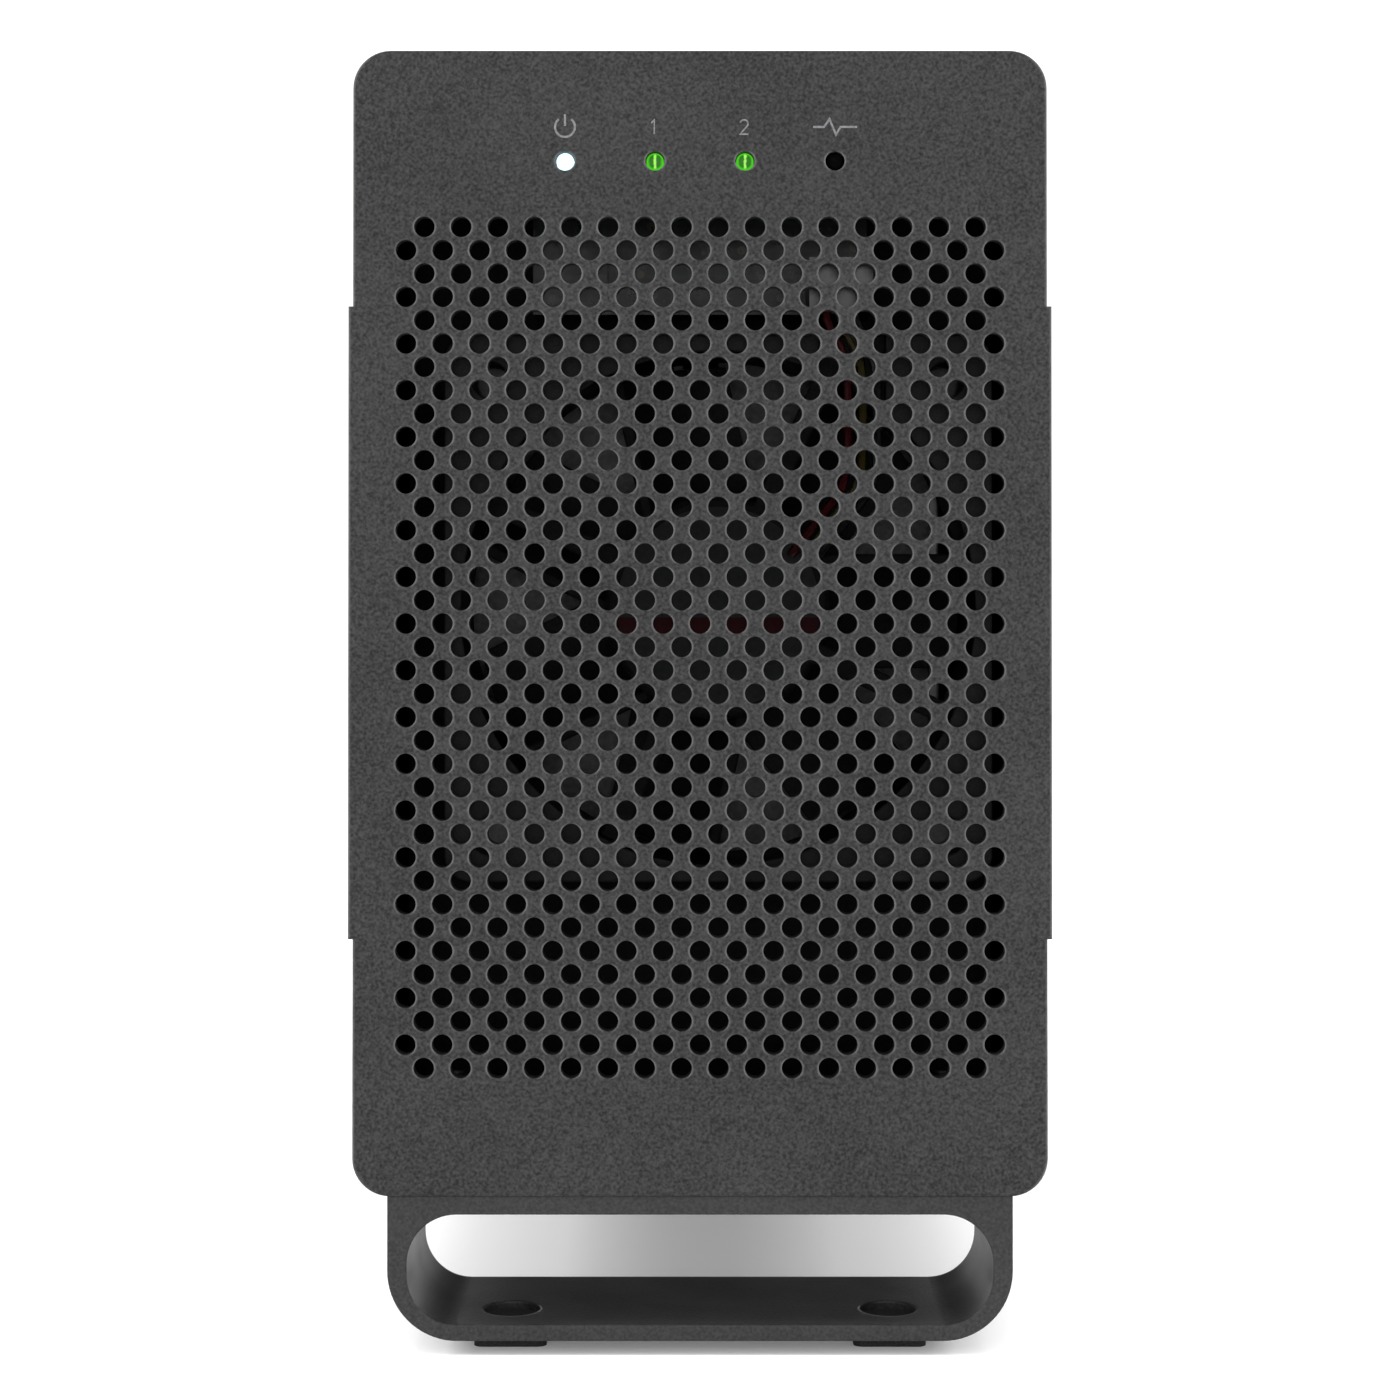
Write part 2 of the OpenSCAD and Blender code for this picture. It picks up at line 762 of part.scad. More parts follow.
module drive_base(i) {
    color("#77797c") at_drive(i) {
        difference() {
            cube([lid_x, drive_l, drive_w]);
            rod_x(spindle.x, spindle.y, well_x, drive_t, well_r);
            block([well_x, swing_y0, 6], [drive_t, swing_y1, drive_w - 6]);
            block([-cut_over, 68, 7], [2.6, drive_l - 8, drive_w - 7]);
            block([-cut_over, drive_l - 9.5, 7], [7, drive_l + cut_over, 12 + sata_len]);
            for (y = drive_screw_y, z = [0, drive_w])
                rod_z(drive_screw_x, y, z - 4.5, z + 4.5, m3_r + running_gap);
        }
        rod_x(spindle.x, spindle.y, well_x - cut_over, 20, 3);
        rod_x(pivot.x, pivot.y, well_x - cut_over, 22, 2);
    }
}

module drive_cover(i) {
    color("#b9bbbd") at_drive(i) {
        difference() {
            translate([lid_x, drive_l / 2, drive_w / 2]) rotate([90, 0, 90])
                linear_extrude(height = lid_t) rounded(drive_l - 2, drive_w - 2, 4);
            rod_x(spindle.x, spindle.y, drive_t - 0.5, drive_t + cut_over, 40);
        }
        rod_x(spindle.x, spindle.y, drive_t - 0.6, drive_t, 14);
    }
}

module drive_platters(i) {
    color("#d5d8db") at_drive(i) difference() {
        union() {
            for (k = [0 : 2]) rod_x(spindle.x, spindle.y, 11.2 + k * 4.4, 12.4 + k * 4.4, platter_r);
            rod_x(spindle.x, spindle.y, 9.4, 22.4, clamp_r);
        }
        rod_x(spindle.x, spindle.y, 9, 20.3, 3 + running_gap);
    }
}

module drive_actuator(i) {
    color("#c9a46a") at_drive(i) translate([0, pivot.x, pivot.y]) rotate([arm_rest, 0, 0]) difference() {
        union() {
            rod_x(0, 0, 9.4, 22.6, 4.6);
            for (k = [0 : 3]) slab_x(9.4 + k * 4.4, 10.2 + k * 4.4) {
                polygon([[0, -4.2], [0, 4.2], [arm_l, 1.4], [arm_l, -1.4]]);
                translate([arm_l, 0]) circle(r = 1.4);
            }
            slab_x(14, 17) polygon([[-3, -3.5], [-3, 3.5], [-19, 9], [-21, 0], [-19, -9]]);
        }
        rod_x(0, 0, 9, 23, 2 + running_gap);
    }
}

// A flat shape drawn in y and z, thick from x0 to x1
module slab_x(x0, x1) {
    translate([x0, 0, 0]) rotate([90, 0, 90]) linear_extrude(height = x1 - x0) children();
}

module drive_board(i) {
    color("#20402a") at_drive(i) {
        block([0.6, 69, 8], [2.2, drive_l - 9.2, drive_w - 8]);
        difference() {
            block([0.6, drive_l - 9.2, 8], [6.6, drive_l, 11 + sata_len]);
            block([2, drive_l - 6, 9.5], [5.4, drive_l + cut_over, 9.5 + sata_len]);
        }
    }
}

module drive_screws() {
    color("silver") for (i = [1, 2], y = drive_screw_y) {
        translate([drive_x0(i) + drive_screw_x, drive_y0 + y, base_z]) rotate([180, 0, 0])
            pan_screw(m3_r, 5);
        translate([drive_x0(i) + drive_screw_x, drive_y0 + y, drive_z1 + sheet])
            pan_screw(m3_r, 5);
    }
}

module drive_1_base() drive_base(1);
module drive_1_cover() drive_cover(1);
module drive_1_platters() drive_platters(1);
module drive_1_actuator() drive_actuator(1);
module drive_1_board() drive_board(1);
module drive_2_base() drive_base(2);
module drive_2_cover() drive_cover(2);
module drive_2_platters() drive_platters(2);
module drive_2_actuator() drive_actuator(2);
module drive_2_board() drive_board(2);

// Main board and connectors

ethernet_size = [16, 14];
usb_size = [14, 16];
power_size = [10, 11];
jack_end = rear_face - 0.3;

module main_board() {
    color("#1d3a24") {
        difference() {
            block([-board_x, board_y, board_z0], [board_x, board_back, board_z1]);
            both_sides() for (z = [drive_z0 + board_screw_in, drive_z1 - board_screw_in])
                rod_y(board_screw_x, z, board_y - cut_over, board_back + cut_over,
                    m25_r + running_gap);
        }
        block([heat_sink_at.x - 9, board_back, heat_sink_at.y - 9],
            [heat_sink_at.x + 9, board_back + 1.4, heat_sink_at.y + 9]);
        for (z = [-6, 6]) block([-28, board_back, heat_sink_at.y + z - 4.5],
            [-19, board_back + 1.1, heat_sink_at.y + z + 4.5]);
        for (x = [-8, 0, 8]) rod_y(x, drive_z0 + 50, board_back, board_back + 8, 3);
        block([-cable_x - 1.5, board_back, cable_end_z - 3.5],
            [cable_x + 1.5, cable_down_y - cable_t, cable_end_z + 4]);
    }
}

module main_board_screws() {
    color("silver") both_sides() for (z = [drive_z0 + board_screw_in, drive_z1 - board_screw_in])
        facing_rear(board_screw_x, board_back, z) pan_screw(m25_r, 4);
}

// Sockets on the front of the board, with a tongue in each drive
module sata_sockets() {
    color("#141416") for (i = [1, 2]) at_drive(i) {
        block([0.6, drive_l + 0.2, 7], [6.6, drive_l + 5, 12 + sata_len]);
        block([3, drive_l - 5.4, 10.5], [4.4, drive_l + 1, 8.5 + sata_len]);
    }
}

fins = 9;
fin_t = 1;
sink_s = 28;
sink_h = 9;

module heat_sink() {
    color("#2a2a2c") translate([heat_sink_at.x, board_back + 1.4, heat_sink_at.y]) {
        block([-sink_s / 2, 0, -sink_s / 2], [sink_s / 2, 2, sink_s / 2]);
        for (i = [0 : fins - 1]) let (x = -sink_s / 2 + i * (sink_s - fin_t) / (fins - 1))
            block([x, 0, -sink_s / 2], [x + fin_t, sink_h, sink_s / 2]);
    }
}

module coin_cell() {
    color("#c8c8c8") rod_y(-22, drive_z0 + 92, board_back, board_back + 3, 6);
}

module ethernet_jack() {
    color("#b9bcc0") difference() {
        block([ethernet.x - ethernet_size.x / 2, board_back, ethernet.y - ethernet_size.y / 2],
            [ethernet.x + ethernet_size.x / 2, jack_end, ethernet.y + ethernet_size.y / 2]);
        block([ethernet.x - 5.9, jack_end - 14, ethernet.y - 3.9],
            [ethernet.x + 5.9, rear_face + cut_over, ethernet.y + 3.2]);
        block([ethernet.x - 3, jack_end - 14, ethernet.y - 5.6],
            [ethernet.x + 3, rear_face + cut_over, ethernet.y]);
    }
    color("gold") for (k = [0 : 7])
        block([ethernet.x - 3.8 + k * 1.02, jack_end - 13, ethernet.y + 2.2],
            [ethernet.x - 3.3 + k * 1.02, jack_end - 3, ethernet.y + 3.4]);
}

// Two stacked sockets, each with its own tongue
module usb_jack() {
    color("#c9ccd0") difference() {
        block([usb.x - usb_size.x / 2, board_back, usb.y - usb_size.y / 2],
            [usb.x + usb_size.x / 2, jack_end, usb.y + usb_size.y / 2]);
        for (dz = [-3.7, 3.7]) block([usb.x - 6.2, jack_end - 13, usb.y + dz - 2.6],
            [usb.x + 6.2, rear_face + cut_over, usb.y + dz + 2.6]);
    }
    color("#1e62b8") for (dz = [-3.7, 3.7]) block([usb.x - 5.4, jack_end - 14, usb.y + dz],
        [usb.x + 5.4, jack_end - 1, usb.y + dz + 1.8]);
}

power_bore_r = 3;
power_pin_r = 1;
power_depth = 11;

module power_jack() {
    color("#151517") difference() {
        block([power_in.x - power_size.x / 2, board_back, power_in.y - power_size.y / 2],
            [power_in.x + power_size.x / 2, jack_end, power_in.y + power_size.y / 2]);
        rod_y(power_in.x, power_in.y, jack_end - power_depth, rear_face + cut_over, power_bore_r);
    }
    color("silver") rod_y(power_in.x, power_in.y, jack_end - power_depth - 1, jack_end - 1.5,
        power_pin_r);
}

switch_y = sleeve_rear - 6;
stem_s = 3;

// Square switch body whose well takes the button's stem
module power_switch() {
    color("#1b1b1d") difference() {
        block([button.x - 5, board_back, button.y - 5], [button.x + 5, switch_y, button.y + 5]);
        block([button.x - stem_s / 2 - running_gap, switch_y - 5, button.y - stem_s / 2 - running_gap],
            [button.x + stem_s / 2 + running_gap, switch_y + cut_over,
                button.y + stem_s / 2 + running_gap]);
    }
}

// Button with a collar that the rear plate keeps in
module power_button() {
    color("#2e2e30") {
        difference() {
            rod_y(button.x, button.y, sleeve_rear - 2.6, body_d / 2, button_r);
            rod_y(button.x, button.y, body_d / 2 - 0.3, body_d / 2 + cut_over, button_r - 1);
        }
        rod_y(button.x, button.y, sleeve_rear - 1.4, sleeve_rear - 0.2, button_r + 0.9);
        block([button.x - stem_s / 2, switch_y - 3, button.y - stem_s / 2],
            [button.x + stem_s / 2, sleeve_rear - 2, button.y + stem_s / 2]);
    }
}

module reset_switch() {
    color("#1b1b1d") difference() {
        block([reset.x - 3, board_back, reset.y - 3], [reset.x + 3, switch_y, reset.y + 3]);
        rod_y(reset.x, reset.y, switch_y - 4, switch_y + cut_over, reset_r + running_gap);
    }
}

module reset_button() {
    color("#b9b9b9") rod_y(reset.x, reset.y, switch_y - 2.5, sleeve_rear + 0.6, reset_r);
}

sleeve();
front_plate();
rear_plate();
front_loop();
rear_loop();
rubber_feet();
loop_screws();
rear_plate_screws();
chassis_screws();
front_studs();
front_nuts();
chassis_base();
chassis_top();
fan_bulkhead();
bulkhead_screws();
fan_frame();
fan_stator();
fan_rotor();
fan_label();
fan_screws();
fan_wire_red();
fan_wire_yellow();
fan_wire_black();
fan_plug();
light_board();
light_board_screws();
light_pipe_holder();
light_pipe_power();
light_pipe_drive_1();
light_pipe_drive_2();
light_pipe_activity();
ribbon_cable();
drive_1_base();
drive_1_cover();
drive_1_platters();
drive_1_actuator();
drive_1_board();
drive_2_base();
drive_2_cover();
drive_2_platters();
drive_2_actuator();
drive_2_board();
drive_screws();
main_board();
main_board_screws();
sata_sockets();
heat_sink();
coin_cell();
ethernet_jack();
usb_jack();
power_jack();
power_switch();
power_button();
reset_switch();
reset_button();
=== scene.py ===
import json
import math

import bpy
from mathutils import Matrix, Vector


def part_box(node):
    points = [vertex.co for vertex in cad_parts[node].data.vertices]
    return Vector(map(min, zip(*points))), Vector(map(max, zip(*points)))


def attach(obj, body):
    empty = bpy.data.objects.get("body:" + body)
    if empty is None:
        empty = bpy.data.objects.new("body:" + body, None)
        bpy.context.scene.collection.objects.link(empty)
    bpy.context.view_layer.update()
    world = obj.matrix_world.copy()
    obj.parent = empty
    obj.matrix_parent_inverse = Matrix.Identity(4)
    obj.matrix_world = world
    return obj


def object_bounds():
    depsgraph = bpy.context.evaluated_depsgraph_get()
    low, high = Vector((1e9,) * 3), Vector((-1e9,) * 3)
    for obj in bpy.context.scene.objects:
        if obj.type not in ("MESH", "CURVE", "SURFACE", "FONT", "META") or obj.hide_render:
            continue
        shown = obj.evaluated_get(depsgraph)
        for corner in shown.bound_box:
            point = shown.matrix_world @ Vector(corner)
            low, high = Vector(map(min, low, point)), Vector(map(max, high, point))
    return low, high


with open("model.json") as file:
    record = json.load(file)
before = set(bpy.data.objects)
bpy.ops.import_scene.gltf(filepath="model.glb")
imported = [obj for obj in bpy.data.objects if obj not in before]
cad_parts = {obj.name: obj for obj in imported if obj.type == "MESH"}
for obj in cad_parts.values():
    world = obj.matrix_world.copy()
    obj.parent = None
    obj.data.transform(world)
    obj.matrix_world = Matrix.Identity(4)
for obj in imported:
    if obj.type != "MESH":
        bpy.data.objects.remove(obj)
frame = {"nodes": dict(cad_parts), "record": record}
cad_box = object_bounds()

MM = 0.001
plate_low, plate_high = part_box("front_plate")
FRONT_Y = plate_low.y
TOP_Z = plate_high.z

# The row of lights and the symbols over it.
LIGHT_STEP = 9.8 * MM
PIPE_RADIUS = 1.0 * MM
SYMBOL_DROP = 8.3 * MM
SYMBOL_STROKE = 0.24 * MM
DIGIT_STROKE = 0.18 * MM
PRINT_THICKNESS = 0.03 * MM

# Shading that all coated surfaces share.
EDGE_RADIUS = 0.46 * MM
WORN_GAIN = 2.6
NOISE_TURN = (0.5, 0.9, 0.3)

# Studio.
FLOOR_REACH = 6.0
FLOOR_GLOW = 0.14
WORLD_STRENGTH = 1.25
STRIP_ASIDE = 0.75
STRIP_AHEAD = 0.08
STRIP_HEIGHT = 0.5
STRIP_SIZE = (0.1, 0.3)

# Camera.
CAMERA_DISTANCE = 0.2985
CAMERA_HEIGHT = 0.0839
CAMERA_TILT = math.radians(0.49)
CAMERA_LENS = 70.6
CAMERA_SHIFT = -0.10


# ---------- materials ----------

class Shader:
    """A new material with its principled shader, and short calls that add nodes to it."""

    def __init__(self, name):
        self.material = bpy.data.materials.new(name)
        self.material.use_nodes = True
        self.tree = self.material.node_tree
        self.tree.nodes.clear()
        out = self.tree.nodes.new("ShaderNodeOutputMaterial")
        self.bsdf = self.tree.nodes.new("ShaderNodeBsdfPrincipled")
        self.link(self.bsdf.outputs["BSDF"], out.inputs["Surface"])
        self.place = self.tree.nodes.new("ShaderNodeTexCoord").outputs["Object"]
        self.rounded = None

    def link(self, source, target):
        self.tree.links.new(source, target)

    def connect(self, value, socket):
        """Sets a socket to a number or a colour, or links another node's output to it."""
        if isinstance(value, (int, float)):
            socket.default_value = value
        elif isinstance(value, tuple):
            socket.default_value = (*value, 1)
        else:
            self.link(value, socket)

    def plain(self, **values):
        """Fixed values of the principled shader, with _ for each space in a socket's name."""
        for name, value in values.items():
            self.connect(value, self.bsdf.inputs[name.replace("_", " ")])

    def mapped(self, location=(0, 0, 0), rotation=(0, 0, 0), scale=(1, 1, 1)):
        """The object's own coordinates, scaled, turned and moved."""
        mapping = self.tree.nodes.new("ShaderNodeMapping")
        mapping.inputs["Location"].default_value = location
        mapping.inputs["Rotation"].default_value = rotation
        mapping.inputs["Scale"].default_value = scale
        self.link(self.place, mapping.inputs["Vector"])
        return mapping.outputs["Vector"]

    def axes(self, vector):
        """The X, Y and Z outputs of a vector."""
        node = self.tree.nodes.new("ShaderNodeSeparateXYZ")
        self.link(vector, node.inputs["Vector"])
        return node.outputs

    def noise(self, size, detail=3.0, stretch=(1, 1, 1)):
        """Noise whose lumps are about size metres across, stretched along the axes."""
        node = self.tree.nodes.new("ShaderNodeTexNoise")
        node.inputs["Scale"].default_value = 1.0
        node.inputs["Detail"].default_value = detail
        scale = [1 / (size * s) for s in stretch]
        self.link(self.mapped(rotation=NOISE_TURN, scale=scale), node.inputs["Vector"])
        return node.outputs["Fac"]

    def ramp(self, value, stops):
        """A colour ramp: stops are (position, colour) pairs."""
        node = self.tree.nodes.new("ShaderNodeValToRGB")
        elements = node.color_ramp.elements
        while len(elements) < len(stops):
            elements.new(0.5)
        for element, (position, colour) in zip(elements, stops):
            element.position = position
            element.color = (*colour, 1)
        self.link(value, node.inputs["Fac"])
        return node.outputs["Color"]

    def spread(self, value, low, high):
        """Maps the middle of a noise onto low to high."""
        node = self.tree.nodes.new("ShaderNodeMapRange")
        node.inputs["From Min"].default_value = 0.3
        node.inputs["From Max"].default_value = 0.7
        node.inputs["To Min"].default_value = low
        node.inputs["To Max"].default_value = high
        self.link(value, node.inputs["Value"])
        return node.outputs["Result"]

    def math(self, operation, a, b=0.0):
        node = self.tree.nodes.new("ShaderNodeMath")
        node.operation = operation
        self.connect(a, node.inputs[0])
        self.connect(b, node.inputs[1])
        return node.outputs["Value"]

    def mix(self, factor, a, b):
        """Colour a where factor is 0, colour b where it is 1."""
        node = self.tree.nodes.new("ShaderNodeMix")
        node.data_type = "RGBA"
        self.connect(factor, node.inputs["Factor"])
        self.connect(a, node.inputs[6])
        self.connect(b, node.inputs[7])
        return node.outputs[2]

    def normal(self):
        return self.tree.nodes.new("ShaderNodeNewGeometry").outputs["Normal"]

    def edges(self):
        """0 on flat areas, rising to 1 along edges, which bump() then shades as rounded."""
        bevel = self.tree.nodes.new("ShaderNodeBevel")
        bevel.samples = 6
        bevel.inputs["Radius"].default_value = EDGE_RADIUS
        self.rounded = bevel.outputs["Normal"]
        dot = self.tree.nodes.new("ShaderNodeVectorMath")
        dot.operation = "DOT_PRODUCT"
        self.link(self.rounded, dot.inputs[0])
        self.link(self.normal(), dot.inputs[1])
        away = self.math("SUBTRACT", 1.0, dot.outputs["Value"])
        return self.math("MINIMUM", self.math("MULTIPLY", away, 3.0), 1.0)

    def side_glint_mask(self):
        """Mask for painted glints: 1 where a rounded edge turns left or right from a flat face."""
        rounded_x = self.math("ABSOLUTE", self.axes(self.rounded)["X"])
        flat_x = self.math("ABSOLUTE", self.axes(self.normal())["X"])
        gain = self.math("MAXIMUM", self.math("SUBTRACT", rounded_x, flat_x), 0.0)
        squared = self.math("MULTIPLY", gain, gain)
        return self.math("MINIMUM", self.math("MULTIPLY", squared, 4.5), 1.0)

    def bump(self, height, depth):
        node = self.tree.nodes.new("ShaderNodeBump")
        node.inputs["Distance"].default_value = depth
        node.inputs["Strength"].default_value = 1.0
        self.link(height, node.inputs["Height"])
        if self.rounded:
            self.link(self.rounded, node.inputs["Normal"])
        self.link(node.outputs["Normal"], self.bsdf.inputs["Normal"])

    def colour(self, value):
        self.link(value, self.bsdf.inputs["Base Color"])

    def roughness(self, value):
        self.link(value, self.bsdf.inputs["Roughness"])


def shade(colour, factor):
    return tuple(min(1.0, c * factor) for c in colour)


def coated(name, colour, grain, contrast, rough, bump, wear=0.0, metallic=0.0, stretch=(1, 1, 1),
           specular=0.5, painted_glints=0.0):
    """A surface with fine grain, slow change of tone, uneven gloss, bump and worn edges.

    grain and bump are in millimetres. The glints are painted highlights: the colour is lightened on
    the left and right sides of holes, as though lit from the sides, and they need some wear.
    """
    s = Shader(name)
    fine = s.noise(grain * MM, 2.0, stretch)
    broad = s.noise(40 * grain * MM, 2.0)
    tone = s.math("ADD", s.math("MULTIPLY", fine, 0.8), s.math("MULTIPLY", broad, 0.2))
    base = s.ramp(tone, [(0.34, shade(colour, 1 - contrast)), (0.5, colour),
                         (0.66, shade(colour, 1 + contrast))])
    if wear:
        patches = s.spread(s.noise(3 * grain * MM), 0.4 * wear, wear)
        base = s.mix(s.math("MULTIPLY", s.edges(), patches), base, shade(colour, WORN_GAIN))
    # Painted highlight: lightens the colour where a rounded edge turns left or right, as glints of
    # side light on hole rims.
    if painted_glints:
        patches = s.spread(s.noise(6 * grain * MM), 0.5, 1.0)
        base = s.mix(s.math("MULTIPLY", s.side_glint_mask(), patches), base, shade(colour, painted_glints))
    s.colour(base)
    s.roughness(s.spread(broad, rough - 0.06, rough + 0.06))
    s.bump(fine, bump * MM)
    s.plain(Metallic=metallic, Specular_IOR_Level=specular)
    return s.material


def circuit(name, colour):
    """Dark green solder mask over tracks, with small paler pads."""
    s = Shader(name)
    tracks = s.tree.nodes.new("ShaderNodeTexBrick")
    tracks.inputs["Scale"].default_value = 160.0
    tracks.inputs["Mortar Size"].default_value = 0.04
    s.connect(colour, tracks.inputs["Color1"])
    s.connect(shade(colour, 0.75), tracks.inputs["Color2"])
    s.connect(shade(colour, 2.2), tracks.inputs["Mortar"])
    s.link(s.mapped(rotation=(math.radians(90), 0, 0)), tracks.inputs["Vector"])
    pads = s.tree.nodes.new("ShaderNodeTexVoronoi")
    pads.inputs["Scale"].default_value = 300.0
    s.link(s.place, pads.inputs["Vector"])
    spots = s.ramp(pads.outputs["Distance"], [(0.12, (1, 1, 1)), (0.16, (0, 0, 0))])
    s.colour(s.mix(spots, tracks.outputs["Color"], (0.05, 0.045, 0.025)))
    s.roughness(s.spread(s.noise(2 * MM), 0.25, 0.4))
    s.bump(s.noise(1.5 * MM), 0.03 * MM)
    return s.material


def flat_cable(name, colour):
    """Parallel leads side by side."""
    s = Shader(name)
    wave = s.tree.nodes.new("ShaderNodeTexWave")
    wave.bands_direction = "X"
    wave.inputs["Scale"].default_value = 160.0
    s.link(s.place, wave.inputs["Vector"])
    s.colour(s.ramp(wave.outputs["Fac"], [(0.0, shade(colour, 0.5)), (0.5, colour)]))
    s.roughness(s.spread(s.noise(2 * MM), 0.35, 0.5))
    s.bump(wave.outputs["Fac"], 0.1 * MM)
    return s.material


def turned_metal(name, colour, rough, centre):
    """Metal with the fine rings of a turned disc, about the X axis through centre."""
    s = Shader(name)
    wave = s.tree.nodes.new("ShaderNodeTexWave")
    wave.wave_type = "RINGS"
    wave.rings_direction = "X"
    wave.inputs["Scale"].default_value = 500.0
    s.link(s.mapped(location=[-c for c in centre]), wave.inputs["Vector"])
    s.colour(s.ramp(wave.outputs["Fac"], [(0.0, shade(colour, 0.92)), (1.0, colour)]))
    s.roughness(s.spread(s.noise(8 * MM), rough, rough + 0.08))
    s.bump(wave.outputs["Fac"], 0.004 * MM)
    s.plain(Metallic=1.0)
    return s.material


def lit(name, streak, body, rim, strength, centre):
    """The lit end of a clear pipe: an upright streak in its body colour, with a rim round it."""
    s = Shader(name)
    flat = s.mapped(location=(-centre.x, 0, -centre.z), scale=(1, 0, 1))
    length = s.tree.nodes.new("ShaderNodeVectorMath")
    length.operation = "LENGTH"
    s.link(flat, length.inputs[0])
    outward = s.math("DIVIDE", length.outputs["Value"], PIPE_RADIUS)
    aside = s.math("ABSOLUTE", s.math("DIVIDE", s.axes(flat)["X"], PIPE_RADIUS))
    wavy = s.math("ADD", aside, s.math("MULTIPLY", s.noise(0.5 * MM, 1.0), 0.3))
    inner = s.ramp(wavy, [(0.2, streak), (0.34, body), (0.7, body), (1.0, rim)])
    at_rim = s.ramp(outward, [(0.66, (0, 0, 0)), (0.84, (1, 1, 1))])
    s.link(s.mix(at_rim, inner, rim), s.bsdf.inputs["Emission Color"])
    s.plain(Base_Color=(0.01, 0.02, 0.01), Emission_Strength=strength, Roughness=0.3,
            Specular_IOR_Level=0.1)
    s.bump(s.noise(0.6 * MM), 0.02 * MM)
    return s.material


def banded_label(name, colour, band, band_z, band_height):
    """A dull printed sticker with one level stripe."""
    s = Shader(name)
    away = s.math("ABSOLUTE", s.math("SUBTRACT", s.axes(s.place)["Z"], band_z))
    stripe = s.math("LESS_THAN", away, band_height / 2)
    paper = s.ramp(s.noise(0.6 * MM), [(0.3, shade(colour, 0.85)), (0.7, shade(colour, 1.15))])
    s.colour(s.mix(stripe, paper, band))
    s.roughness(s.spread(s.noise(3 * MM), 0.45, 0.55))
    s.bump(s.noise(0.6 * MM), 0.005 * MM)
    s.plain(Specular_IOR_Level=0.1)
    return s.material


# Streak, body and rim colours of a lit pipe end.
GREEN = ((0.4, 1.0, 0.12), (0.015, 0.16, 0.004), (0.07, 0.58, 0.015))
WHITE = ((1.0, 1.0, 1.0), (0.9, 0.97, 1.0), (0.5, 0.85, 0.95))

